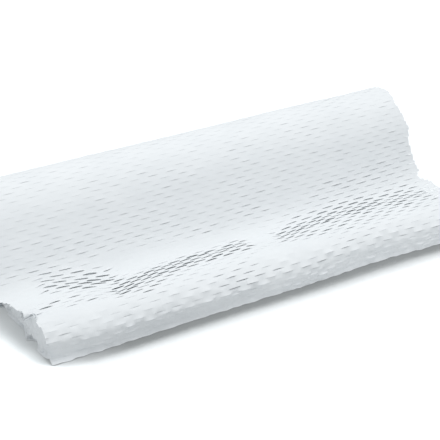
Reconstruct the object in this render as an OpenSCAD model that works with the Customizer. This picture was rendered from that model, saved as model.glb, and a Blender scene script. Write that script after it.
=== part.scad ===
// Loose roll of white slit paper wrap, lying along X with its wound part at the back.
// The outer sheet comes down the front of the wound part, crosses a valley,
// turns over a low front fold and ends in a free edge on the table.
// Rows of staggered slits run along X. The turns show as a spiral at both ends.

/* [Roll] */
// Width of the paper, which is the length of the roll
roll_w = 412; // [280:1:520]
// Height of the wound part at the left end
roll_h_left = 95.5; // [90:0.5:110]
// Height of the wound part at the right end
roll_h_right = 100.5; // [92:0.5:112]
// Radius of the paper over the crest
crest_r = 36; // [30:1:42]
// Angle that the paper falls at the back before the rear bend starts
crest_fall = 48; // [40:1:58]

/* [Front slope] */
// Steepest angle of the sheet at the left end
slope_left = 62; // [54:1:70]
// Steepest angle of the sheet at the right end
slope_right = 72; // [62:1:76]
// Radius of the upper bend, between the slope and the crest
brow_r = 50; // [36:1:62]
// Angle turned in the upper bend
brow_turn = 28; // [16:1:34]
// Radius of the long bend at the foot of the slope
toe_r = 50; // [36:1:70]
// Angle turned in the long bend at the foot of the slope
toe_turn = 14; // [8:1:16]

/* [Valley] */
// Radius of the bend at the bottom of the valley
valley_r = 22; // [14:1:28]
// Angle that the sheet falls from the front fold into the valley
valley_fall = 4; // [2:0.5:8]
// Length of the nearly flat run from the fold into the valley
valley_run = 30; // [16:1:40]

/* [Front fold] */
// Height of the front fold at the left end
fold_h_left = 31; // [26:1:38]
// Height of the front fold at the right end
fold_h_right = 27; // [22:1:36]
// Share of the fold height that its front bend takes
fold_front_share = 0.47; // [0.4:0.01:0.55]
// How far the free edge reaches out in front of the fold at the left end
edge_reach_left = 4; // [2:0.5:8]
// How far the free edge reaches out in front of the fold at the right end
edge_reach_right = 1.5; // [1:0.5:6]
// Thickness of the free edge
edge_t = 1.4; // [1:0.1:2.5]

/* [Slits] */
// Length of one slit
slit_len = 12.5; // [8:0.1:13.5]
// Distance from slit to slit along a row
slit_pitch = 17.2; // [15:0.1:24]
// Distance from row to row in the stretched paper
row_pitch = 4; // [3.6:0.1:5.5]
// Width of a slit where the paper gapes
slit_open = 2; // [1:0.1:2.4]
// Depth of a gaping slit
slit_depth = 2.4; // [1:0.1:4]
// Height of the paper's facets between the slits
facet_h = 0.7; // [0.2:0.1:1.2]

/* [Ends] */
// Number of turns that show at an end
turns = 8; // [4:1:9]
// Depth of the gap between two turns at an end
turn_gap_depth = 9; // [4:1:16]
// How far the ragged paper edges stand back at most
ragged = 4; // [1:0.5:6]
// How far the front fold's left end stands back at most
corner_back = 14; // [4:0.5:20]
// How far in from the left end the paper is crushed by its stepped end
crush_run = 56; // [48:1:90]

/* [Hidden] */

// The front bend starts where it meets the upper side of the free edge.
edge_heading = 130;
// Each turn stays level with the last one until this share of its way round.
step_start = 0.8;
// Share of a turn's spacing that its own paper fills, and where the gap is deepest.
turn_fill = 0.3;
turn_gap_at = 0.65;
// Place of the point that the turns shrink to, as shares of the depth and the height,
// and the share of the way to it that they fill.
spiral_y = 0.46;
spiral_z = 0.15;
spiral_reach = 0.86;
hub_shift = 2;
// Share by which the free edge's reach varies along its length.
edge_wave = 0.25;
// Multipliers of angles, chosen so that uneven values never repeat along a row or column.
UNEVEN_STEPS = [97, 41, 53, 67];
// A slower wave in the ragged ends: its share of the depth and its step in degrees.
ragged_wave = 0.3;
ragged_wave_step = 29;
// Offset that makes the two ends ragged in different places.
ragged_offset = 7;
// Share of a facet's height that is uneven.
facet_uneven = 0.4;
// A gaping slit's floor as a share of its mouth, and the heights of its lower and upper lips.
slit_floor = 0.7;
lip_low = 0.25;
lip_high = 1.5;
// The row nearest the free edge that may gape.
first_open_row = 3;

// Bands where the slits gape: start [x, s], end [x, s] and half width.
// x is measured from the left end and s along the sheet from the front of the free edge.
BANDS = [
    [[34, 76], [104, 70], 9],
    [[78, 37], [218, 60], 8],
    [[248, 50], [408, 56], 10],
    [[308, 92], [408, 96], 6]
];
// The stepped left end: [s, share of corner_back that it stands back].
LEFT_STEPS = [
    [0, 0.93], [15, 0.79], [33, 0.75], [43, 1], [48, 0.93], [54, 0.57],
    [60, 0.43], [73, 0.39], [77, 0.04], [90, 0], [270, 0], [324, 0.71]
];
// Share of corner_back that the middle of the turns stands back at the left end.
middle_back = 0.55;

cells = max(4, round(roll_w / slit_pitch));
columns = 2 * cells;
cell_w = roll_w / cells;

function mix(a, b, t) = a + (b - a) * t;
function fold_h(t) = mix(fold_h_left, fold_h_right, t);
function slope(t) = mix(slope_left, slope_right, t);
function edge_reach(t) = mix(edge_reach_left, edge_reach_right, t);
function front_r(t) = fold_h(t) * fold_front_share;
function top_r(t) = fold_h(t) - front_r(t);
function roll_h(t) = mix(roll_h_left, roll_h_right, t);
function rear_r(t) = (roll_h(t) - crest_r * (1 - cos(crest_fall))) / (1 + cos(crest_fall));

// A bend is [length, turn]. Positive turns go left, and the sheet runs front to back.
function bend(r, turn) = [r * abs(turn) * PI / 180, turn];
function bends(t, straight) = [
    bend(front_r(t), 90 - edge_heading),
    bend(top_r(t), -90 - valley_fall),
    [valley_run, 0],
    bend(valley_r, slope(t) - toe_turn + valley_fall),
    bend(toe_r, toe_turn),
    [straight, 0],
    bend(brow_r, -brow_turn),
    bend(crest_r, brow_turn - slope(t) - crest_fall),
    bend(rear_r(t), crest_fall - 180)
];
rear_bend = 8;

// Way covered by a length of one bend that starts at heading a.
function way(a, b, len) =
    let (turn = b[0] == 0 ? 0 : b[1] * len / b[0])
    abs(turn) < 0.001
        ? len * [cos(a), sin(a)]
        : len * 180 / (PI * turn) * [sin(a + turn) - sin(a), cos(a) - cos(a + turn)];

// Point and heading at length s along the bends.
function along(b, s, p, a, i = 0) =
    s <= b[i][0] || i == len(b) - 1
        ? [p + way(a, b[i], s), a + (b[i][0] == 0 ? 0 : b[i][1] * s / b[i][0])]
        : along(b, s - b[i][0], p + way(a, b[i], b[i][0]), a + b[i][1], i + 1);

function total(b, i = 0) = i == len(b) ? 0 : b[i][0] + total(b, i + 1);
function start(t) = front_r(t) * [1 - sin(edge_heading), 1 + cos(edge_heading)];
// The straight slope is as long as it takes for the sheet to come back to the table.
function straight(t) =
    let (b = bends(t, 0))
    -along(b, total(b), start(t), edge_heading)[0][1] / sin(slope(t));
function sheet(t) = bends(t, straight(t));
function sheet_at(t, share) =
    let (b = sheet(t))
    along(b, total(b) * share, start(t), edge_heading);

// Row lines: one for each row of slits up to the crest, and every second one behind it.
sheet_len = total(sheet(0.5));
front_len = sheet_len - total([sheet(0.5)[rear_bend]]) - crest_r * crest_fall * PI / 180;
front_rows = 4 * round(front_len / row_pitch / 4);
rear_rows = 2 * round((sheet_len - front_rows * row_pitch) / row_pitch / 4);
all_rows = front_rows + rear_rows;
row_units = front_rows + 2 * rear_rows;
function row_share(k) = (k <= front_rows ? k : 2 * k - front_rows) / row_units;

// Uneven values that are the same each time, from -1 to 1.
function uneven(a, b) =
    sin(a * UNEVEN_STEPS[0] + b * UNEVEN_STEPS[1])
    * cos(a * UNEVEN_STEPS[2] - b * UNEVEN_STEPS[3]);
function end_step(j) =
    ragged * max(0, uneven(j, 3) + ragged_wave * sin(j * ragged_wave_step));

function facet(k, m) =
    k == 0 || k == all_rows
        ? 0
        : facet_h * ((k + m) % 2 + facet_uneven * uneven(k, m)) / (1 + facet_uneven);
function stand_back(j) =
    corner_back * lookup(j < 2 ? 0 : row_share(j - 2) * sheet_len, LEFT_STEPS);
function crushed(x, j) = x + stand_back(j) * max(0, 1 - x / crush_run);
function column_x(m, j) =
    crushed(m * cell_w / 2, j)
    + (m == 0 ? end_step(j) : m == columns ? -end_step(j + ragged_offset) : 0);
function lift(at, h) = at[0] + h * [-sin(at[1]), cos(at[1])];

// One column of points: both sides of the free edge, then the row lines.
function column(m) =
    let (t = m / columns, tip = -edge_reach(t) * (1 + edge_wave * uneven(m, 1)))
    [
        [column_x(m, 0), tip, 0],
        [column_x(m, 1), tip + edge_t / 2, edge_t],
        for (k = [0 : all_rows])
            let (p = lift(sheet_at(t, row_share(k)), facet(k, m)))
            [column_x(m, k + 2), p[0], k == all_rows ? 0 : max(p[1], edge_t)]
    ];
loop_points = all_rows + 3;
skin = [for (m = [0 : columns]) each column(m)];
function at_skin(m, j) = m * loop_points + j;

// Slits that gape. A cell spans two columns, and every second row is half a cell over.
function in_band(x, s, b) =
    x > b[0][0] && x < b[1][0]
    && abs(s - mix(b[0][1], b[1][1], (x - b[0][0]) / (b[1][0] - b[0][0]))) < b[2];
function gapes(m, k) =
    k >= first_open_row && k < front_rows && m > 0 && m + 2 < columns
    && max([for (b = BANDS)
        in_band((m + 1) * cell_w / 2, (k + 0.5) * row_pitch, b) ? 1 : 0]) == 1;
function first_cell(k) = k % 2;
open_cells = [
    for (k = [0 : all_rows - 1])
        for (m = [first_cell(k) : 2 : columns - 2])
            if (gapes(m, k)) [m, k]
];
function slit_point(m, k, dx, ds, h) =
    let (
        x = (m + 1) * cell_w / 2 + dx,
        share = (row_share(k) + row_share(k + 1)) / 2 + ds / sheet_len,
        p = lift(sheet_at(x / roll_w, share), h)
    )
    [(crushed(x, k + 2) + crushed(x, k + 3)) / 2, p[0], p[1]];
slit_half = slit_len / 2;
open_half = slit_open / 2;
function slit_points(m, k) = [
    slit_point(m, k, -slit_half, 0, facet_h / 2),
    slit_point(m, k, 0, -open_half, facet_h * lip_low),
    slit_point(m, k, slit_half, 0, facet_h / 2),
    slit_point(m, k, 0, open_half, facet_h * lip_high),
    slit_point(m, k, -slit_half * slit_floor, 0, -slit_depth),
    slit_point(m, k, 0, -open_half * slit_floor, -slit_depth),
    slit_point(m, k, slit_half * slit_floor, 0, -slit_depth),
    slit_point(m, k, 0, open_half * slit_floor, -slit_depth)
];
slit_base = len(skin);
slits = [for (c = open_cells) each slit_points(c[0], c[1])];

function strip(j, next) = [
    for (m = [0 : columns - 1])
        each [
            [at_skin(m, j), at_skin(m, next), at_skin(m + 1, next)],
            [at_skin(m, j), at_skin(m + 1, next), at_skin(m + 1, j)]
        ]
];
function quad(m, j) = [
    [at_skin(m, j), at_skin(m, j + 1), at_skin(m + 1, j + 1)],
    [at_skin(m, j), at_skin(m + 1, j + 1), at_skin(m + 1, j)]
];
function plain_cells(k) = [
    if (k % 2 == 1) each quad(0, k + 2),
    if (k % 2 == 1) each quad(columns - 1, k + 2),
    for (m = [first_cell(k) : 2 : columns - 2])
        if (!gapes(m, k)) each concat(quad(m, k + 2), quad(m + 1, k + 2))
];
// A gaping cell: the ring round the slit, its four walls and its floor.
function open_cell(c, i) =
    let (
        j = c[1] + 2,
        a = [for (d = [0 : 2]) at_skin(c[0] + d, j)],
        b = [for (d = [0 : 2]) at_skin(c[0] + d, j + 1)],
        s = slit_base + 8 * i
    )
    [
        [a[0], s, s + 1],
        [a[0], s + 1, a[1]],
        [a[1], s + 1, a[2]],
        [a[2], s + 1, s + 2],
        [a[2], s + 2, b[2]],
        [b[2], s + 2, s + 3],
        [b[2], s + 3, b[1]],
        [b[1], s + 3, b[0]],
        [b[0], s + 3, s],
        [b[0], s, a[0]],
        for (e = [0 : 3])
            let (p = s + e, q = s + (e + 1) % 4)
            each [[q, p, p + 4], [q, p + 4, q + 4]],
        [s + 4, s + 7, s + 6],
        [s + 4, s + 6, s + 5]
    ];

// The turns at an end: a spiral of paper edges with gaps between them.
ring = (loop_points + 1) / 2;
turn_step = spiral_reach / (turns + 1);
function turn_size(i) =
    let (f = (i % ring) / ring)
    1 - turn_step * (floor(i / ring) + max(0, f - step_start) / (1 - step_start));
function end_depth(side) =
    max([for (j = [0 : loop_points - 1]) skin[at_skin(side * columns, j)][1]]);
spiral_centres = [for (side = [0, 1]) [spiral_y * end_depth(side), spiral_z * roll_h(side)]];
function end_point(side, i, size, inward) =
    let (
        c = spiral_centres[side],
        j = 2 * (i % ring),
        p = skin[at_skin(side * columns, j)],
        back = mix(corner_back * middle_back, stand_back(j), size),
        x = side == 0 ? back + inward : roll_w - inward
    )
    [x, c[0] + (p[1] - c[0]) * size, c[1] + (p[2] - c[1]) * size];
spiral_len = turns * ring;
function end_points(side) = [
    for (i = [ring : spiral_len + ring])
        end_point(side, i, turn_size(i), end_step(i + 5)),
    for (i = [0 : spiral_len])
        end_point(side, i, turn_size(i) - turn_step * turn_fill, end_step(i + 4)),
    for (i = [0 : spiral_len])
        end_point(side, i, turn_size(i) - turn_step * turn_gap_at,
            turn_gap_depth + end_step(2 * i)),
    [
        side == 0 ? corner_back * middle_back + ragged : roll_w - ragged,
        spiral_centres[side][0] + hub_shift,
        spiral_centres[side][1] + hub_shift / 2
    ]
];
end_size = 3 * (spiral_len + 1) + 1;
function end_faces(side) =
    let (
        base = slit_base + len(slits) + side * end_size,
        m = side * columns,
        outer = function (i) i < ring ? at_skin(m, 2 * i) : base + i - ring,
        inner = function (i) base + spiral_len + 1 + i,
        gap = function (i) base + 2 * (spiral_len + 1) + i,
        last = at_skin(m, loop_points - 1),
        hub = base + end_size - 1
    )
    [
        for (i = [0 : ring - 2])
            each [
                [outer(i), outer(i) + 1, inner(i)],
                [outer(i) + 1, outer(i + 1), inner(i)],
                [outer(i + 1), inner(i + 1), inner(i)]
            ],
        [last, outer(0), inner(0)],
        [last, inner(0), outer(ring)],
        [last, outer(ring), inner(ring - 1)],
        [outer(ring), inner(ring), inner(ring - 1)],
        [inner(0), gap(0), outer(ring)],
        for (i = [ring : spiral_len - 1])
            each [
                [outer(i), outer(i + 1), inner(i + 1)],
                [outer(i), inner(i + 1), inner(i)]
            ],
        for (i = [0 : spiral_len - 1])
            each [
                [inner(i), inner(i + 1), gap(i + 1)],
                [inner(i), gap(i + 1), gap(i)],
                [gap(i), gap(i + 1), outer(i + 1 + ring)],
                [gap(i), outer(i + 1 + ring), outer(i + ring)]
            ],
        [inner(spiral_len), outer(spiral_len + ring), gap(spiral_len)],
        for (i = [spiral_len : spiral_len + ring - 1])
            [outer(i), outer(i + 1), hub],
        [outer(spiral_len + ring), inner(spiral_len), hub],
        [inner(spiral_len), outer(spiral_len), hub]
    ];
function flip(faces) = [for (f = faces) [f[2], f[1], f[0]]];

skin_ys = [for (p = skin) p[1]];
mid_y = (min(skin_ys) + max(skin_ys)) / 2;

// The whole roll is one closed solid, because its turns are one sheet of paper.
module paper_roll() {
    color([0.9, 0.91, 0.92])
        translate([-roll_w / 2, -mid_y, 0])
            polyhedron(
                points = concat(skin, slits, end_points(0), end_points(1)),
                faces = concat(
                    strip(0, 1),
                    strip(1, 2),
                    strip(loop_points - 1, 0),
                    [for (k = [0 : all_rows - 1]) each plain_cells(k)],
                    [for (i = [0 : 1 : len(open_cells) - 1]) each open_cell(open_cells[i], i)],
                    flip(end_faces(0)),
                    end_faces(1)
                ),
                convexity = 12
            );
}

paper_roll();
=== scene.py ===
"""Looks of a loose roll of white slit paper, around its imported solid.

The outer turn is a sheet with real slits: a geometry tree lays one slit cell on a staggered
grid and bends the sheet over a smooth form. A second turn lies close under it and shows
through the slits. The turns below are one wound sheet, and the left end is crumpled.
Sizes are in millimetres up to the meshes, which are in metres.
"""

import math

import bpy
import numpy as np
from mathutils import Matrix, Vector, noise

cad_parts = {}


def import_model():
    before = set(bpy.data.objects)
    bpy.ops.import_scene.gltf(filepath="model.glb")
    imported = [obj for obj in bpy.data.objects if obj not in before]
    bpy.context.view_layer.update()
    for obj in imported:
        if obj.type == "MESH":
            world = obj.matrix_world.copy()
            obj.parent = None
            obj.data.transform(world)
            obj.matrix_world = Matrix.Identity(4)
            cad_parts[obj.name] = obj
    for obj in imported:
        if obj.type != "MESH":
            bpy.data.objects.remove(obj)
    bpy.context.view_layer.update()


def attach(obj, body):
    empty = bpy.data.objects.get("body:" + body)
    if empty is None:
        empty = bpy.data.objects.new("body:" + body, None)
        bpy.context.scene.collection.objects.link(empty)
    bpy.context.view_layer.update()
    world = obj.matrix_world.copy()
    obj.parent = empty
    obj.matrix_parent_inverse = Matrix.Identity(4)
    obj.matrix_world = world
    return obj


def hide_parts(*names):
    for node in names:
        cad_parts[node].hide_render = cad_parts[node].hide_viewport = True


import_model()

MM = 0.001

# Sizes of the roll, the same as in the solid. A pair is the left end's and the right end's.
ROLL_W = 412.0
ROLL_H = (95.5, 100.5)
CREST_R, CREST_FALL = 36.0, 48.0
SLOPE = (62.0, 72.0)
BROW_R, BROW_TURN = 50.0, 28.0
TOE_R, TOE_TURN = 50.0, 14.0
VALLEY_R, VALLEY_FALL, VALLEY_RUN = 22.0, 4.0, 30.0
FOLD_H = (31.0, 27.0)
FOLD_FRONT_SHARE = 0.47
EDGE_HEADING = 130.0
# The depth at which the shared frame has its origin.
MID_Y = 78.73

# The front wall drops straight from a little below the place where the section is upright.
WALL_START = 2.0
# How far the wall's foot stands back from its top, on the left, and how high its edge is.
WALL_LEAN = 3.2
EDGE_Z = 0.5
# The share of the wall that turns out at its foot, and by how many degrees.
TURNED_SHARE, TURNED_BY = 0.25, 30
# How far the free edge turns out at its foot: (x, reach).
EDGE_REACH = [
    (0, 4.5), (5, 6.0), (14, 6.0), (36, 3.0), (60, 2.2), (110, 1.8), (180, 1.6), (280, 0.6),
    (412, 0.6),
]
# How far the front of the fold bulges forward: (x, bulge).
FRONT_BULGE = [
    (0, 0.0), (12, 0.2), (30, 2.4), (60, 4.4), (85, 4.2), (152, 4.2), (180, 3.6), (197, 4.2),
    (211, 3.8), (240, 4.0), (262, 2.6), (285, 2.0), (330, 2.0), (366, 4.8), (412, 5.6),
]

# The slits: their length, how many a row has, the rows' distance, and straight parts in a cell.
SLIT_LEN, CELLS, ROW_PITCH = 12.5, 24, 4.0
SEGMENTS = 14
# How far a gaping slit opens, how far its lips lift and how far a cell bulges.
SLIT_OPEN, LIP_LIFT, RUFFLE = 1.0, 0.75, 1.6
# The strip along the free edge, before the section starts.
FLARE_LEN = 12.0
PAPER_T = 0.3
# Rows of cells in the front piece of the outer sheet. The rest are in the back piece.
FRONT_ROWS = 48

# The second turn's least gap to the outer one.
UNDER_GAP = 0.8
# The turns under it shrink to a point, which is given as shares of the depth and the height.
TURNS = 8
TURN_STEP = 0.86 / 9
SPIRAL_Y, SPIRAL_Z = 0.46, 0.15

CRUMPLE_SEED = 2
# Faces that meet at more than this many degrees have a sharp edge between them.
SHARP_FROM = 35
GROUND_COLOUR = (0.85, 0.865, 0.87)


# ---- The roll's section ----


def mix(pair, t):
    return pair[0] + (pair[1] - pair[0]) * t


def smooth(x, low=0.0, high=1.0):
    x = min(max((x - low) / (high - low), 0.0), 1.0)
    return x * x * (3 - 2 * x)


def cosd(a):
    return math.cos(math.radians(a))


def sind(a):
    return math.sin(math.radians(a))


def arc(radius, turn):
    return (radius * math.radians(abs(turn)), turn)


def way(heading, turn, length):
    """The step covered by a bend that starts at a heading."""
    if abs(turn) < 1e-6:
        return length * cosd(heading), length * sind(heading)
    r = length / math.radians(turn)
    return r * (sind(heading + turn) - sind(heading)), r * (cosd(heading) - cosd(heading + turn))


class Section:
    """The roll's outline at share t of the width: bends from the front bend round to it again."""

    def __init__(self, t):
        slope, fold = mix(SLOPE, t), mix(FOLD_H, t)
        front_r = fold * FOLD_FRONT_SHARE
        rear_r = (mix(ROLL_H, t) - CREST_R * (1 - cosd(CREST_FALL))) / (1 + cosd(CREST_FALL))
        self.height = mix(ROLL_H, t)
        self.front_len = front_r * math.radians(EDGE_HEADING - 90) + WALL_START
        self.start = (front_r * (1 - sind(EDGE_HEADING)), front_r * (1 + cosd(EDGE_HEADING)))
        bends = [
            arc(front_r, 90 - EDGE_HEADING),
            arc(fold - front_r, -90 - VALLEY_FALL),
            (VALLEY_RUN, 0.0),
            arc(VALLEY_R, slope - TOE_TURN + VALLEY_FALL),
            arc(TOE_R, TOE_TURN),
            (0.0, 0.0),
            arc(BROW_R, -BROW_TURN),
            arc(CREST_R, BROW_TURN - slope - CREST_FALL),
            arc(rear_r, CREST_FALL - 180),
        ]
        # The straight slope is as long as it takes for the last bend to end on the ground.
        self.chain(bends)
        bends[5] = (-self.points[-1][1] / sind(slope), 0.0)
        self.chain(bends)
        self.length = self.at[-1]
        self.depth = max(self.place(self.length * i / 200)[0] for i in range(201))
        under = self.points[-1][0] - front_r
        self.chain(bends + [(under, 0.0), arc(front_r, EDGE_HEADING - 180)])
        self.loop = self.at[-1]

    def chain(self, bends):
        self.bends, self.points, self.headings, self.at = bends, [self.start], [EDGE_HEADING], [0.0]
        for length, turn in bends:
            dy, dz = way(self.headings[-1], turn, length)
            y, z = self.points[-1]
            self.points.append((y + dy, z + dz))
            self.headings.append(self.headings[-1] + turn)
            self.at.append(self.at[-1] + length)

    def place(self, s):
        """Point and heading at length s from the front bend."""
        i = min(max(int(np.searchsorted(self.at, s, side="right")) - 1, 0), len(self.bends) - 1)
        length, turn = self.bends[i]
        part = s - self.at[i]
        turned = turn * part / length if length else 0.0
        dy, dz = way(self.headings[i], turned, part)
        y, z = self.points[i]
        return y + dy, z + dz, self.headings[i] + turned

    def middle(self):
        """The point that the turns shrink to."""
        return np.array([SPIRAL_Y * self.depth, SPIRAL_Z * self.height])


MID_SECTION = Section(0.5)
SHEET_LEN = MID_SECTION.length
ALL_ROWS = int((SHEET_LEN + FLARE_LEN) / ROW_PITCH)


# ---- Where the slits gape and the sheet is uneven ----

# x is measured from the left end and s along the sheet from the front bend.
# Bands of gaping slits: points (x, s, strength) along the middle, half width, and how much
# the rows bend to follow the band.
BANDS = [
    ([(40, 82, 0.75), (60, 77, 1.0), (76, 73, 1.0), (90, 68, 0.85)], 11.5, 0.5),
    (
        [
            (84, 43, 0.75), (100, 49, 0.9), (122, 56, 0.85), (144, 58, 0.85), (168, 58, 0.8),
            (208, 60, 0.7),
        ],
        10,
        0.6,
    ),
    ([(98, 32, 0.5), (116, 37, 0.65), (130, 43, 0.45)], 4.5, 0),
    (
        [
            (246, 56, 0.65), (270, 61, 0.8), (300, 65, 0.9), (340, 66, 0.8), (400, 62, 0.7),
            (425, 58, 0.7),
        ],
        12,
        0.6,
    ),
    ([(262, 44, 0.46), (310, 50, 0.56), (350, 51, 0.56), (412, 50, 0.5)], 8, 0),
    ([(280, 35, 0.36), (320, 38, 0.38), (412, 38, 0.34)], 5, 0),
    ([(308, 90, 0.45), (342, 94, 0.5), (408, 96, 0.45)], 8, 0),
    ([(12, 46, 0.6), (20, 49, 0.7), (32, 53, 0.65), (42, 54.5, 0.6), (60, 54, 0.45)], 2.5, 0),
    ([(44, 45, 0.5), (54, 46, 0.5), (64, 42, 0.45)], 4, 0),
]
# How far from a band its rows are drawn in, and by which share they close up.
GATHER_REACH, GATHERED = 16, 0.33
# How far the slits stand open outside the bands: (s, share).
USUAL_GAPE = [
    (0, 0.22), (10, 0.28), (40, 0.18), (60, 0.18), (90, 0.26), (140, 0.17), (200, 0.13),
    (240, 0.2),
]
# Places where the paper lies tight and its slits are shut: (x, s), half sizes.
TIGHT = [
    ((48, 36), (40, 12)),
    ((100, 82), (40, 9)),
    ((140, 75), (46, 12)),
    ((184, 71), (50, 12)),
    ((228, 66), (40, 11)),
    ((244, 30), (44, 12)),
    ((25, 74), (40, 15)),
]
# The outer sheet's left edge: (s, how far it stands back). The last is round on the underside.
LEFT_EDGE = [
    (-12, 13), (0, 13), (15, 11), (33, 10.5), (43, 14), (48, 13), (54, 8), (60, 6),
    (73, 5.5), (77, 0.5), (90, 0), (270, 0), (324, 10), (440, 13),
]
# Its right edge: (s, how far it reaches past the roll's width).
RIGHT_EDGE = [
    (-12, 0), (30, 0), (48, 6), (60, 13), (71, 14), (77, 8), (80, 3), (84, 2), (85, 8),
    (88, 5), (94, 4), (104, 1), (115, 0), (126, 2), (137, 0), (150, -2), (165, 1), (200, 0),
]


def from_table(table, at):
    return float(np.interp(at, [p[0] for p in table], [p[1] for p in table]))


def left_edge(s):
    return from_table(LEFT_EDGE, s)


def past_ends(x, points):
    return max(points[0][0] - x, x - points[-1][0], 0.0)


def band_share(x, s, points, half):
    """How much a place belongs to a band."""
    off = abs(s - from_table(points, x))
    return (1 - smooth(off, half * 0.6, half * 1.5)) * (1 - smooth(past_ends(x, points), 0, 12))


def gape(x, s):
    """How far the slits stand open at a place on the sheet, where 1 is a gaping slit."""
    broad = noise.noise(Vector((x / 37, s / 19, 4.1)))
    fine = noise.noise(Vector((x / 11, s / 7, 9.3)))
    usual = from_table(USUAL_GAPE, s) * (0.8 + 0.2 * smooth(x, 60, 140))
    usual += 0.22 * (1 - smooth(s, 18, 30)) * smooth(x, 150, 190) * (1 - smooth(x, 255, 300))
    value = usual * (1 + 0.8 * broad + 0.5 * fine)
    for (cx, cs), (hx, hs) in TIGHT:
        d = ((x - cx) / hx) ** 2 + ((s - cs) / hs) ** 2
        value *= smooth(d, 0.5, 1.5)
    for points, half, _ in BANDS:
        strength = from_table([(p[0], p[2]) for p in points], x)
        value += (strength * (0.9 + 0.5 * fine) - value) * band_share(x, s, points, half)
    return max(value, 0.005)


def gathered(x, s):
    """Where a row of the sheet ends up along the section. Rows bend and close up in the bands."""
    moved = s
    for points, _, bent in BANDS:
        if not bent:
            continue
        line = from_table(points, x)
        middle = sum(p[1] for p in points) / len(points)
        row = middle + (1 - bent) * (line - middle)
        near = math.exp(-(((s - row) / GATHER_REACH) ** 2))
        near *= 1 - smooth(past_ends(x, points), 0, 20)
        moved += near * (bent * (line - middle) - GATHERED * (s - row))
    return moved


def dent(x, s):
    """How far the sheet stands off its smooth section."""
    wide = noise.noise(Vector((x / 70, s / 45, 1.7)))
    small = noise.noise(Vector((x / 24, s / 14, 6.4)))
    fold = 1 - smooth(s, 30, 70)
    creases = noise.noise(Vector((x / 9, s / 40, 3.3))) * (1 - smooth(s, 14, 30))
    mottled = noise.noise(Vector((x / 5.5, s / 4, 8.8))) * (1 - smooth(s, 16, 34))
    # A pointed pleat runs in from the left edge.
    pleat = 2.2 * (1 - smooth(x, 12, 30)) * math.exp(-(((s - 45) / 2) ** 2))
    waves = (0.5 + 0.4 * fold) * wide + (0.22 + 0.3 * fold) * small
    return waves + 0.5 * creases + 1.1 * mottled - pleat


def ruffle(x, s):
    """How far the cells bulge out of the sheet, where 1 is the most."""
    front = (1 - smooth(s, 22, 34)) * smooth(s, -10, -4)
    run = smooth(x, 150, 215) * (1 - 0.6 * smooth(x, 320, 380))
    gathers = max(band_share(x, s, points, half) for points, half, bent in BANDS if bent)
    return 0.2 + front * (0.7 + 0.35 * run) + 0.35 * gathers


def front_place(section, x, s, stretch):
    """Point and heading on the outer turn, with the front's bulge and its steep foot."""
    if s * stretch > section.front_len:
        y, z, heading = section.place(s * stretch)
    else:
        # Below the front bend the sheet drops straight down, and its free edge turns out.
        wall_top = section.front_len / stretch
        top_y, top_z, _ = section.place(section.front_len)
        q = (s + FLARE_LEN) / (wall_top + FLARE_LEN)
        turned_out = max(1 - q / TURNED_SHARE, 0.0)
        lean = WALL_LEAN * (1 - q) * (1 - smooth(x, 150, 280))
        y = top_y - from_table(EDGE_REACH, x) * turned_out**2 + lean
        z, heading = EDGE_Z + (top_z - EDGE_Z) * q, 90 + TURNED_BY * turned_out
    # The free edge itself is a little ragged.
    at_edge = 1 - smooth(s, -FLARE_LEN, -3)
    y += 1.6 * at_edge * noise.noise(Vector((x / 8, 2.2, 7.0)))
    z += 0.9 * at_edge * abs(noise.noise(Vector((x / 6, 4.4, 1.0))))
    bulge = from_table(FRONT_BULGE, x)
    return y - bulge * (1 - smooth(s, 8, 34)), z, heading


# ---- Meshes ----


def mesh_object(name, points_mm, faces):
    mesh = bpy.data.meshes.new(name)
    points = (np.asarray(points_mm, float) - [ROLL_W / 2, MID_Y, 0]) * MM
    mesh.from_pydata(points.tolist(), [], faces)
    mesh.update()
    obj = bpy.data.objects.new(name, mesh)
    bpy.context.scene.collection.objects.link(obj)
    return obj


def grid_faces(columns, rows):
    return [
        (i * rows + j, (i + 1) * rows + j, (i + 1) * rows + j + 1, i * rows + j + 1)
        for i in range(columns - 1)
        for j in range(rows - 1)
    ]


def thicken_and_bake(obj):
    """Gives a skin the paper's thickness, inwards, and turns its modifiers into plain mesh."""
    wall = obj.modifiers.new("thickness", "SOLIDIFY")
    wall.thickness, wall.offset = PAPER_T * MM, -1.0
    graph = bpy.context.evaluated_depsgraph_get()
    graph.update()
    mesh = bpy.data.meshes.new_from_object(obj.evaluated_get(graph), depsgraph=graph)
    mesh.name = obj.name
    mesh.set_sharp_from_angle(angle=math.radians(SHARP_FROM))
    old = obj.data
    obj.modifiers.clear()
    obj.data = mesh
    bpy.data.meshes.remove(old)
    return obj


def paper_piece(name, points_mm, faces, paper):
    """A piece of paper from the points and faces of its outer side."""
    obj = mesh_object(name, points_mm, faces)
    for polygon in obj.data.polygons:
        polygon.use_smooth = True
    obj.data.materials.append(paper)
    return thicken_and_bake(obj)


def on_sheet(section, x, s):
    """A point (y, z) of the outer sheet, the way it faces, and its place along the section."""
    at = gathered(x, s)
    y, z, heading = front_place(section, x, max(at, -FLARE_LEN), section.length / SHEET_LEN)
    way_out = np.array([-sind(heading), cosd(heading)])
    return np.array([y, z]) + way_out * dent(x, at) * smooth(z, 0, 6), way_out, at


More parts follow.
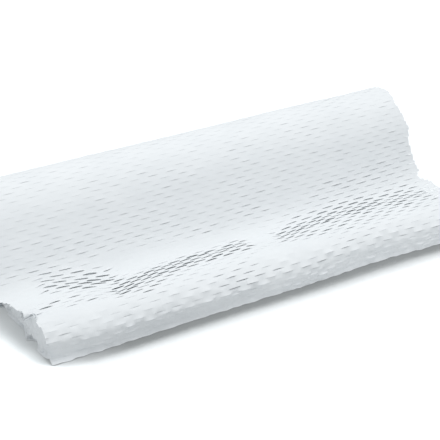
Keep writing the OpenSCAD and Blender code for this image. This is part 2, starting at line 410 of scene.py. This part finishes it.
def sheet_form():
    """A smooth grid in the shape of the outer turn, which the slit sheet is bent over."""
    xs = np.linspace(-10, ROLL_W + 20, 148)
    ss = np.linspace(-FLARE_LEN - 2, SHEET_LEN + 2, 300)
    points, normals, gapes, ruffles, insides, uvs = [], [], [], [], [], []
    for x in xs:
        section = Section(x / ROLL_W)
        for s in ss:
            p, way_out, at = on_sheet(section, x, s)
            points.append((x, p[0], p[1]))
            normals.append((0.0, way_out[0], way_out[1]))
            gapes.append(gape(x, at))
            ruffles.append(ruffle(x, at))
            tatter = 1.2 * noise.noise(Vector((at / 3.0, x / 50, 5.5)))
            right = ROLL_W + from_table(RIGHT_EDGE, at) + 0.5 * tatter
            insides.append(min(x - left_edge(at) - tatter, right - x))
            uvs.append((x / ROLL_W, (s + FLARE_LEN) / (SHEET_LEN + FLARE_LEN)))
    form = mesh_object("sheet_form", points, grid_faces(len(xs), len(ss)))
    mesh = form.data
    mesh.attributes.new("form_normal", "FLOAT_VECTOR", "POINT").data.foreach_set(
        "vector", np.array(normals, np.float32).ravel()
    )
    for name, values in (("gape", gapes), ("ruffle", ruffles), ("inside", insides)):
        mesh.attributes.new(name, "FLOAT", "POINT").data.foreach_set(
            "value", np.array(values, np.float32)
        )
    corner = np.zeros(len(mesh.loops), np.int32)
    mesh.loops.foreach_get("vertex_index", corner)
    layer = mesh.uv_layers.new(name="form_uv")
    layer.data.foreach_set("uv", np.array(uvs, np.float32)[corner].ravel())
    return form


# ---- Nodes ----


def add_node(tree, kind, inputs=None, **settings):
    """Adds a node, with its settings and inputs, and returns it."""
    node = tree.nodes.new(kind)
    for name, value in settings.items():
        setattr(node, name, value)
    for key, value in (inputs or {}).items():
        if isinstance(key, int):
            socket = node.inputs[key]
        else:
            socket = next(s for s in node.inputs if s.name == key and s.enabled)
        if isinstance(value, bpy.types.NodeSocket):
            tree.links.new(value, socket)
        else:
            socket.default_value = value
    return node


def out(node, name=None):
    """The enabled output with this name, or the first enabled one."""
    return next(s for s in node.outputs if s.enabled and (name is None or s.name == name))


def split(tree, vector):
    node = add_node(tree, "ShaderNodeSeparateXYZ", {0: vector})
    return node.outputs[0], node.outputs[1], node.outputs[2]


class Sums:
    """Adds math nodes to a tree, so that a sum of sockets reads as one line."""

    def __init__(self, tree):
        self.tree = tree

    def of(self, operation, a, b=0.0):
        return out(add_node(self.tree, "ShaderNodeMath", {0: a, 1: b}, operation=operation))

    def plus(self, a, b):
        return self.of("ADD", a, b)

    def minus(self, a, b):
        return self.of("SUBTRACT", a, b)

    def times(self, a, *others):
        for b in others:
            a = self.of("MULTIPLY", a, b)
        return a

    def over(self, a, b):
        return self.of("DIVIDE", a, b)

    def larger(self, a, b):
        return self.of("MAXIMUM", a, b)

    def smaller(self, a, b):
        return self.of("MINIMUM", a, b)

    def unsigned(self, a):
        return self.of("ABSOLUTE", a)

    def vector(self, x=0.0, y=0.0):
        return out(add_node(self.tree, "ShaderNodeCombineXYZ", {0: x, 1: y}))


def named(tree, name, data_type="FLOAT"):
    node = add_node(
        tree, "GeometryNodeInputNamedAttribute", {"Name": name}, data_type=data_type
    )
    return out(node, "Attribute")


def store(tree, geometry, name, value, domain):
    node = add_node(
        tree,
        "GeometryNodeStoreNamedAttribute",
        {"Geometry": geometry, "Name": name, "Value": value},
        data_type="FLOAT",
        domain=domain,
    )
    return out(node, "Geometry")


def ramp(tree, value, low, high, at_low, at_high):
    """Runs from one figure to another while a value goes from low to high."""
    limits = {"From Min": low, "From Max": high, "To Min": at_low, "To Max": at_high}
    return out(add_node(tree, "ShaderNodeMapRange", {"Value": value, **limits}))


def seen_rays(tree):
    """1 for rays that show what they meet: the camera's, or those in a gloss or a glass."""
    sums, rays = Sums(tree), add_node(tree, "ShaderNodeLightPath")
    in_finish = sums.larger(out(rays, "Is Glossy Ray"), out(rays, "Is Transmission Ray"))
    return sums.larger(out(rays, "Is Camera Ray"), in_finish)


# ---- The slit sheet's geometry tree ----


def slit_cell(tree, sizes, cell_w):
    """One cell: two half strips that meet in the slit.

    Their lip attribute is the slit's lens, + on the upper strip and - on the lower one.
    """
    sums = Sums(tree)
    x, y, _ = split(tree, out(add_node(tree, "GeometryNodeInputPosition")))
    half_row = sums.over(sizes["Row height"], 2.0)
    reach = sums.over(sums.unsigned(x), sums.over(sizes["Slit length"], 2.0))
    lens = sums.minus(1.0, sums.times(reach, reach))
    lens = sums.times(lens, sums.of("GREATER_THAN", lens, 0.08))
    lens = sums.larger(lens, 0.0)
    at_slit = sums.of("LESS_THAN", sums.unsigned(y), 1e-6)
    cell = add_node(tree, "GeometryNodeJoinGeometry")
    for side in (-1, 1):
        grid = add_node(
            tree,
            "GeometryNodeMeshGrid",
            {
                "Size X": cell_w,
                "Size Y": half_row,
                "Vertices X": sums.plus(sizes["Segments"], 1.0),
                "Vertices Y": 2,
            },
        )
        shift = sums.vector(y=sums.times(half_row, side / 2))
        moved = add_node(
            tree, "GeometryNodeTransform", {"Geometry": out(grid, "Mesh"), "Translation": shift}
        )
        lip = sums.times(lens, at_slit, float(side))
        half = store(tree, out(moved, "Geometry"), "lip", lip, "POINT")
        tree.links.new(half, cell.inputs[0])
    return out(cell, "Geometry")


def staggered_cells(tree, sizes, cell, cell_w):
    """The flat sheet: rows of cells, in which odd rows start half a cell in."""
    sums = Sums(tree)
    x, y, _ = split(tree, out(add_node(tree, "GeometryNodeInputPosition")))
    across = sums.times(cell_w, sums.plus(sizes["Cells"], 1.0))
    up = sums.times(sizes["Row height"], sums.minus(sizes["Rows"], 1.0))
    spots = add_node(
        tree,
        "GeometryNodeMeshGrid",
        {
            "Size X": across,
            "Size Y": up,
            "Vertices X": sums.plus(sizes["Cells"], 2.0),
            "Vertices Y": sizes["Rows"],
        },
    )
    row = sums.over(sums.plus(y, sums.over(up, 2.0)), sizes["Row height"])
    row = sums.plus(sums.of("ROUND", row), sizes["First row"])
    shift = sums.times(sums.of("FLOORED_MODULO", row, 2.0), sums.over(cell_w, 2.0))
    spot_x = sums.plus(sums.plus(x, sums.over(across, 2.0)), shift)
    spot_y = sums.times(sums.plus(row, 0.5), sizes["Row height"])
    placed = add_node(
        tree,
        "GeometryNodeSetPosition",
        {"Geometry": out(spots, "Mesh"), "Position": sums.vector(spot_x, spot_y)},
    )
    laid = add_node(
        tree,
        "GeometryNodeInstanceOnPoints",
        {"Points": out(placed, "Geometry"), "Instance": cell},
    )
    luck = add_node(tree, "FunctionNodeRandomValue", {"Seed": sizes["Seed"]}, data_type="FLOAT")
    lucky = store(tree, out(laid, "Instances"), "luck", out(luck, "Value"), "INSTANCE")
    return out(add_node(tree, "GeometryNodeRealizeInstances", {"Geometry": lucky}), "Geometry")


def bent_sheet(tree, sizes, flat):
    """The flat sheet, cut to its outline and laid over the form with its slits open."""
    sums = Sums(tree)
    x, y, _ = split(tree, out(add_node(tree, "GeometryNodeInputPosition")))
    form = add_node(tree, "GeometryNodeObjectInfo", {"Object": sizes["Form"]})

    def sample(value, data_type, v):
        """What the form says at x and at share v of the sheet's length."""
        # The small shifts keep the places off the form's edges, where nothing is found.
        u = sums.plus(sums.over(x, sizes["Sheet width"]), 1.7e-6)
        node = add_node(
            tree,
            "GeometryNodeSampleUVSurface",
            {
                "Mesh": out(form, "Geometry"),
                "Value": value,
                "UV Map": named(tree, "form_uv", "FLOAT_VECTOR"),
                "Sample UV": sums.vector(u, sums.plus(v, 1.1e-6)),
            },
            data_type=data_type,
        )
        return out(node, "Value")

    v = sums.over(y, sizes["Sheet length"])
    outside = sums.of("LESS_THAN", sample(named(tree, "inside"), "FLOAT", v), 0.02)
    trimmed = add_node(
        tree,
        "GeometryNodeDeleteGeometry",
        {"Geometry": flat, "Selection": outside},
        domain="FACE",
    )
    lip = named(tree, "lip")
    no_lip = sums.of("LESS_THAN", sums.unsigned(lip), 1e-4)
    merged = add_node(
        tree,
        "GeometryNodeMergeByDistance",
        {"Geometry": out(trimmed, "Geometry"), "Selection": no_lip, "Distance": 2e-5},
    )

    # Where slits gape, all of them do. Elsewhere most stay nearly shut and a few stand open.
    gaping = sample(named(tree, "gape"), "FLOAT", v)
    luck = named(tree, "luck")
    few = sums.plus(sums.times(sums.of("POWER", luck, 2.0), 0.8), 0.6)
    all_of_them = sums.plus(sums.times(luck, 0.4), 0.85)
    share = sums.minus(sums.times(gaping, 3.0), 0.8)
    share = sums.smaller(sums.larger(share, 0.0), 1.0)
    usual = sums.plus(sums.times(few, sums.minus(1.0, share)), sums.times(all_of_them, share))
    open_share = sums.times(gaping, usual)
    # A slit that is nearly shut only parts in its middle.
    sharpness = sums.minus(1.6, sums.times(share, 1.1))
    lip = sums.times(sums.of("SIGN", lip), sums.of("POWER", sums.unsigned(lip), sharpness))

    # The lips part along the sheet and lift off it, the upper one more.
    parted = sums.times(lip, open_share, sums.over(sizes["Slit opening"], 2.0))
    v_parted = sums.plus(v, sums.over(parted, sizes["Sheet length"]))
    position = out(add_node(tree, "GeometryNodeInputPosition"))
    here = sample(position, "FLOAT_VECTOR", v_parted)
    normal = sample(named(tree, "form_normal", "FLOAT_VECTOR"), "FLOAT_VECTOR", v_parted)
    lifted = sums.plus(sums.larger(lip, 0.0), sums.times(sums.smaller(lip, 0.0), 0.35))
    height = sums.times(lifted, open_share, sizes["Lip lift"])
    # Each cell also bulges a little, out or in.
    bulge = sums.minus(sums.of("FRACT", sums.times(luck, 37.0)), 0.4)
    bulge = sums.times(sums.unsigned(lip), bulge, sizes["Ruffle"])
    bulge = sums.times(bulge, sample(named(tree, "ruffle"), "FLOAT", v))
    height = sums.plus(height, bulge)
    offset = add_node(
        tree, "ShaderNodeVectorMath", {0: normal, "Scale": height}, operation="SCALE"
    )
    bent = add_node(
        tree,
        "GeometryNodeSetPosition",
        {
            "Geometry": out(merged, "Geometry"),
            "Position": here,
            "Offset": out(offset, "Vector"),
        },
    )
    return out(bent, "Geometry")


def slit_sheet_tree():
    """A tree that lays slit cells on a staggered grid and bends them over a form."""
    tree = bpy.data.node_groups.new("slit sheet", "GeometryNodeTree")
    for name, kind, value in [
        ("Form", "NodeSocketObject", None),
        ("Paper", "NodeSocketMaterial", None),
        ("Sheet width", "NodeSocketFloat", ROLL_W * MM),
        ("Sheet length", "NodeSocketFloat", (SHEET_LEN + FLARE_LEN) * MM),
        ("Slit length", "NodeSocketFloat", SLIT_LEN * MM),
        ("Slit opening", "NodeSocketFloat", SLIT_OPEN * MM),
        ("Lip lift", "NodeSocketFloat", LIP_LIFT * MM),
        ("Ruffle", "NodeSocketFloat", RUFFLE * MM),
        ("Row height", "NodeSocketFloat", ROW_PITCH * MM),
        ("Cells", "NodeSocketInt", CELLS),
        ("First row", "NodeSocketInt", 0),
        ("Rows", "NodeSocketInt", 10),
        ("Segments", "NodeSocketInt", SEGMENTS),
        ("Seed", "NodeSocketInt", 1),
    ]:
        socket = tree.interface.new_socket(name=name, in_out="INPUT", socket_type=kind)
        if value is not None:
            socket.default_value = value
    tree.interface.new_socket(name="Geometry", in_out="OUTPUT", socket_type="NodeSocketGeometry")
    given = tree.nodes.new("NodeGroupInput")
    sizes = {s.name: s for s in given.outputs}
    cell_w = Sums(tree).over(sizes["Sheet width"], sizes["Cells"])
    cell = slit_cell(tree, sizes, cell_w)
    flat = staggered_cells(tree, sizes, cell, cell_w)
    bent = bent_sheet(tree, sizes, flat)
    shaded = add_node(
        tree, "GeometryNodeSetShadeSmooth", {"Geometry": bent, "Shade Smooth": True}
    )
    whole = add_node(tree, "GeometryNodeRealizeInstances", {"Geometry": out(shaded, "Geometry")})
    painted = add_node(
        tree,
        "GeometryNodeSetMaterial",
        {"Geometry": out(whole, "Geometry"), "Material": sizes["Paper"]},
    )
    result = tree.nodes.new("NodeGroupOutput")
    tree.links.new(out(painted, "Geometry"), result.inputs["Geometry"])
    return tree


def slit_sheet(name, tree, form, paper, first_row, rows):
    """One stretch of the outer turn, as a plain mesh with the paper's thickness."""
    obj = mesh_object(name, [(0, 0, 0)], [])
    modifier = obj.modifiers.new("slits", "NODES")
    modifier.node_group = tree
    values = {
        "Form": form,
        "Paper": paper,
        "First row": first_row,
        "Rows": rows,
        "Segments": SEGMENTS,
        "Seed": first_row + 3,
    }
    for item in tree.interface.items_tree:
        if item.in_out == "INPUT" and item.name in values:
            modifier[item.identifier] = values[item.name]
    return thicken_and_bake(obj)


# ---- The turns under the outer one ----


def second_turn(paper):
    """The turn that lies close under the outer one, and shows through its slits."""
    columns, rows = 90, 150
    points = []
    for i in range(columns):
        across = ROLL_W * i / (columns - 1)
        section = Section(across / ROLL_W)
        for s in np.linspace(-4, SHEET_LEN - 4, rows):
            rag = 1.5 * noise.noise(Vector((s / 5.0, across / 90, 6.1)))
            x = across + (left_edge(s) + 3 + rag) * (1 - smooth(across, 0, 60))
            x -= (3 + rag) * smooth(across, ROLL_W - 60, ROLL_W)
            p, way_out, at = on_sheet(section, x, s)
            p = p - way_out * (UNDER_GAP + 0.5 * ruffle(x, at))
            points.append((x, p[0], max(p[1], 0.6)))
    return paper_piece("second_turn", points, grid_faces(columns, rows), paper)


def left_end(s, size):
    """How far the turns stand back at the left end, from the edge of the outer sheet inwards."""
    return 13.5 + (left_edge(s) - 13.5) * size


def inner_turns(paper):
    """One long sheet wound in, from the back of the underside to the middle."""
    xs = [0, 1.5, 4, 8, 14, 24, 45, 90, 140, 206, 270, 320, 367, 388, 398, 404, 408, 410.5, 412]
    loop_steps = 150
    first = int(loop_steps * MID_SECTION.length / MID_SECTION.loop)
    points = []
    for x in xs:
        section = Section(x / ROLL_W)
        centre = section.middle()
        end = min(x, ROLL_W - x)
        side = 1 if x > ROLL_W / 2 else -1
        on_left = 1 - smooth(x, 60, 120)
        for i in range(first, TURNS * loop_steps):
            share = (i % loop_steps) / loop_steps
            y, z, heading = section.place(share * section.loop)
            size = 1 - TURN_STEP * (i // loop_steps + smooth(share, 0.84, 1.0))
            p = centre + (np.array([y, z]) - centre) * size
            spacing = TURN_STEP * np.linalg.norm(p - centre) / size
            crumple = noise.noise(Vector((i / 5.0, x / 30, side * 3.0)))
            crumple *= 0.1 + 0.3 * (1 - smooth(end, 0, 30))
            # Kept clear of the outer turn in the valley, where the turns lie closest.
            clear = 0.9 * smooth(i, first + 30, first + 60) * smooth(z, 8, 14)
            h = crumple * spacing * smooth(z, 0, 4) - clear
            rag = max(0.0, 1.2 + 3.0 * noise.noise(Vector((i / 4.0, side * 7.7, 2.0))))
            rag *= 1 - smooth(end, 0, 12)
            back = left_end(share * section.loop, size) * on_left
            back += (rag if side < 0 else 0) + 16 * (1 - smooth(p[0], 84, 112)) * on_left
            squeezed = x + back * (1 - x / 120) if x < 120 else x - (rag if side > 0 else 0)
            points.append((squeezed, p[0] - sind(heading) * h, p[1] + cosd(heading) * h + 0.35))
    faces = grid_faces(len(xs), TURNS * loop_steps - first)
    return paper_piece("inner_turns", points, faces, paper)


# ---- The left end ----


def crushed_end(paper):
    """The left end's crumpled layers in front, which hide the gaps between the turns there."""
    section = Section(0.03)
    centre = section.middle()
    under = section.loop - 70
    # Points round the outline, fewer at the back, and from the outline in to the middle.
    steps = [*np.arange(0, 110, 1.2), *np.arange(110, under, 4.0)]
    steps += [*np.arange(under, section.loop, 1.6)]
    shares = np.linspace(1, 0.02, 56)
    # Without a seed, noise_vector is another one in each run.
    noise.seed_set(CRUMPLE_SEED)
    points = []
    for s in steps:
        y, z, _ = section.place(s)
        for size in shares:
            p = centre + (np.array([y, z]) - centre) * size * 0.99
            p[0] -= 3 * (1 - smooth(p[1], 5, 14)) * (1 - smooth(p[0], 3, 14))
            spot = Vector((p[0], p[1], 0.0))
            warp = noise.noise_vector(spot / 12) * 4
            folds = abs(noise.noise((spot + warp) / 11)) * 4.2
            small = abs(noise.noise((spot + warp) / 4.5 + Vector((7, 3, 1)))) * 1.6
            edge = smooth(size, 1.0, 0.93)
            back = left_end(s, size) + 1.0 + edge * (folds + small)
            # A dark hollow low down, where the layers have come apart.
            from_hollow = ((p[0] - 34 + 3 * small) / 8) ** 2 + ((p[1] - 1 - folds) / 6) ** 2
            back += 7 * (1 - smooth(from_hollow, 0.1, 1.3)) + 34 * smooth(p[0], 84, 112)
            back += 6 * (1 - smooth(p[1], 0, 14)) * smooth(p[0], 38, 58)
            points.append((back, p[0], p[1] + 0.3 * (1 - smooth(p[1], 0, 3))))
    n, m = len(steps), len(shares)
    faces = [
        (i * m + j, i * m + j + 1, (i + 1) % n * m + j + 1, (i + 1) % n * m + j)
        for i in range(n)
        for j in range(m - 1)
    ]
    faces.append(tuple(i * m + m - 1 for i in range(n)))
    return paper_piece("crushed_end", points, faces, paper)


def edge_curl(paper):
    """The small curl of torn paper at the left edge, where the pleat starts."""
    points = []
    along, around = 12, 40
    for i in range(along):
        q = i / (along - 1)
        for j in range(around):
            turn = 560 * j / (around - 1) + 200
            r = mix((3.5, 0.6), q) * (1 - 0.45 * j / (around - 1))
            jag = 0.9 * noise.noise(Vector((j / 4.0, 8.1, 0.0))) * (1 - q)
            x = mix((6.8, 21), q) + jag
            points.append((x, 30.5 + r * cosd(turn), 28.0 + 0.7 * q + r * sind(turn)))
    return paper_piece("edge_curl", points, grid_faces(along, around), paper)


# ---- Materials ----


def white_paper():
    material = bpy.data.materials.new("white paper")
    material.use_nodes = True
    tree = material.node_tree
    shader = tree.nodes["Principled BSDF"]
    shader.inputs["Roughness"].default_value = 0.85
    shader.inputs["Specular IOR Level"].default_value = 0.25
    place = out(add_node(tree, "ShaderNodeTexCoord"), "Object")
    grain = add_node(
        tree,
        "ShaderNodeTexNoise",
        {"Vector": place, "Scale": 900.0, "Detail": 4.0, "Roughness": 0.6},
    )
    tone = add_node(tree, "ShaderNodeTexNoise", {"Vector": place, "Scale": 40.0, "Detail": 2.0})
    colour = add_node(tree, "ShaderNodeValToRGB", {"Fac": out(tone, "Fac")})
    colour.color_ramp.elements[0].color = (0.80, 0.83, 0.85, 1)
    colour.color_ramp.elements[1].color = (0.86, 0.885, 0.90, 1)
    tree.links.new(out(colour, "Color"), shader.inputs["Base Color"])
    bump = add_node(
        tree, "ShaderNodeBump", {"Height": out(grain, "Fac"), "Strength": 0.15, "Distance": 0.0003}
    )
    tree.links.new(out(bump, "Normal"), shader.inputs["Normal"])
    return material


def ground_material():
    """A white ground with the roll's real shadow, and a painted shadow that darkens its colour near
    the roll.
    """
    material = bpy.data.materials.new("white ground")
    material.use_nodes = True
    tree = material.node_tree
    sums = Sums(tree)
    shader = tree.nodes["Principled BSDF"]
    shader.inputs["Roughness"].default_value = 0.9
    shader.inputs["Specular IOR Level"].default_value = 0.2
    place = out(add_node(tree, "ShaderNodeTexCoord"), "Object")
    x, _, _ = split(tree, place)
    seen = seen_rays(tree)

    # Painted shadow: the ground's colour darkens by occlusion near the roll, less past its left end
    # and wider to the right.
    free = out(add_node(tree, "ShaderNodeAmbientOcclusion", {"Distance": 0.05}, samples=16), "AO")
    least = ramp(tree, x, -0.212, -0.13, 0.66, 0.08)
    narrowed = sums.plus(free, ramp(tree, x, -0.12, 0.12, 0.046, -0.018))
    shade = ramp(tree, narrowed, 0.73, 0.865, least, 1.0)
    # Rays that aren't seen meet a ground without the painted shadow but dimmed, most in front of
    # the roll's left part: painted shade on the light bounced onto the roll's front.
    unseen = ramp(tree, sums.unsigned(sums.plus(x, 0.12)), 0.03, 0.14, 0.68, 0.87)
    shade = sums.plus(sums.times(seen, shade), sums.times(sums.minus(1.0, seen), unseen))
    parts = zip(("Red", "Green", "Blue"), GROUND_COLOUR)
    colour = add_node(
        tree, "ShaderNodeCombineColor", {name: sums.times(shade, part) for name, part in parts}
    )
    tree.links.new(out(colour), shader.inputs["Base Color"])

    # Painted light: past the left end a glow soon lifts the shadow to white again, and far off the
    # ground glows evenly white.
    clear = ramp(tree, free, 0.45, 0.76, 0.0, 0.5)
    left = ramp(tree, x, -0.205, -0.165, 1.0, 0.0)
    off = out(add_node(tree, "ShaderNodeVectorMath", {0: place}, operation="LENGTH"), "Value")
    far = ramp(tree, off, 0.35, 0.9, 0.0, 0.5)
    strength = sums.plus(sums.larger(sums.times(clear, left), far), 0.24)
    glow = add_node(
        tree,
        "ShaderNodeEmission",
        {"Color": (0.92, 0.98, 1, 1), "Strength": sums.times(seen, strength)},
    )
    both = add_node(tree, "ShaderNodeAddShader", {0: out(shader), 1: out(glow)})
    tree.links.new(out(both), tree.nodes["Material Output"].inputs["Surface"])
    return material


# ---- Scene ----


def ground():
    h = 6.0
    mesh = bpy.data.meshes.new("ground")
    mesh.from_pydata([(-h, -h, 0), (h, -h, 0), (h, h, 0), (-h, h, 0)], [], [(0, 1, 2, 3)])
    obj = bpy.data.objects.new("ground", mesh)
    bpy.context.scene.collection.objects.link(obj)
    mesh.materials.append(ground_material())


def camera():
    """The photograph's camera, which stands in front of the left end."""
    data = bpy.data.cameras.new("camera")
    data.lens, data.sensor_width = 105.05, 36.0
    obj = bpy.data.objects.new("camera", data)
    bpy.context.scene.collection.objects.link(obj)
    obj.location = (-0.5248, -0.8144, 0.4944)
    obj.rotation_euler = Vector((0.4928, 0.7579, -0.428)).to_track_quat("-Z", "Y").to_euler()
    bpy.context.scene.camera = obj


def area_light(name, place, target, size, power):
    data = bpy.data.lights.new(name, "AREA")
    data.shape, data.size, data.energy = "DISK", size, power
    obj = bpy.data.objects.new(name, data)
    bpy.context.scene.collection.objects.link(obj)
    obj.location = place
    obj.rotation_euler = (Vector(target) - Vector(place)).to_track_quat("-Z", "Y").to_euler()


def world():
    """A soft fill light, behind which the background is white."""
    made = bpy.data.worlds.new("studio")
    bpy.context.scene.world = made
    made.use_nodes = True
    tree = made.node_tree
    tree.nodes.clear()
    fill = add_node(
        tree, "ShaderNodeBackground", {"Color": (0.965, 0.985, 1.0, 1), "Strength": 0.695}
    )
    white = add_node(tree, "ShaderNodeBackground", {"Color": (1, 1, 1, 1), "Strength": 1.0})
    both = add_node(
        tree, "ShaderNodeMixShader", {0: seen_rays(tree), 1: out(fill), 2: out(white)}
    )
    final = tree.nodes.new("ShaderNodeOutputWorld")
    tree.links.new(out(both), final.inputs["Surface"])


paper = white_paper()
form = sheet_form()
tree = slit_sheet_tree()
pieces = [
    slit_sheet("outer_sheet_front", tree, form, paper, 0, FRONT_ROWS),
    slit_sheet("outer_sheet_back", tree, form, paper, FRONT_ROWS, ALL_ROWS - FRONT_ROWS),
    second_turn(paper),
    inner_turns(paper),
    crushed_end(paper),
    edge_curl(paper),
]
bpy.data.objects.remove(form)

for piece in pieces:
    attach(piece, "root")
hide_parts("paper_roll")

ground()
camera()
world()
area_light("overhead light", (0.08, -0.1, 1.8), (0, 0, 0.05), 1.0, 12.3)
bpy.context.scene.view_settings.view_transform = "Standard"
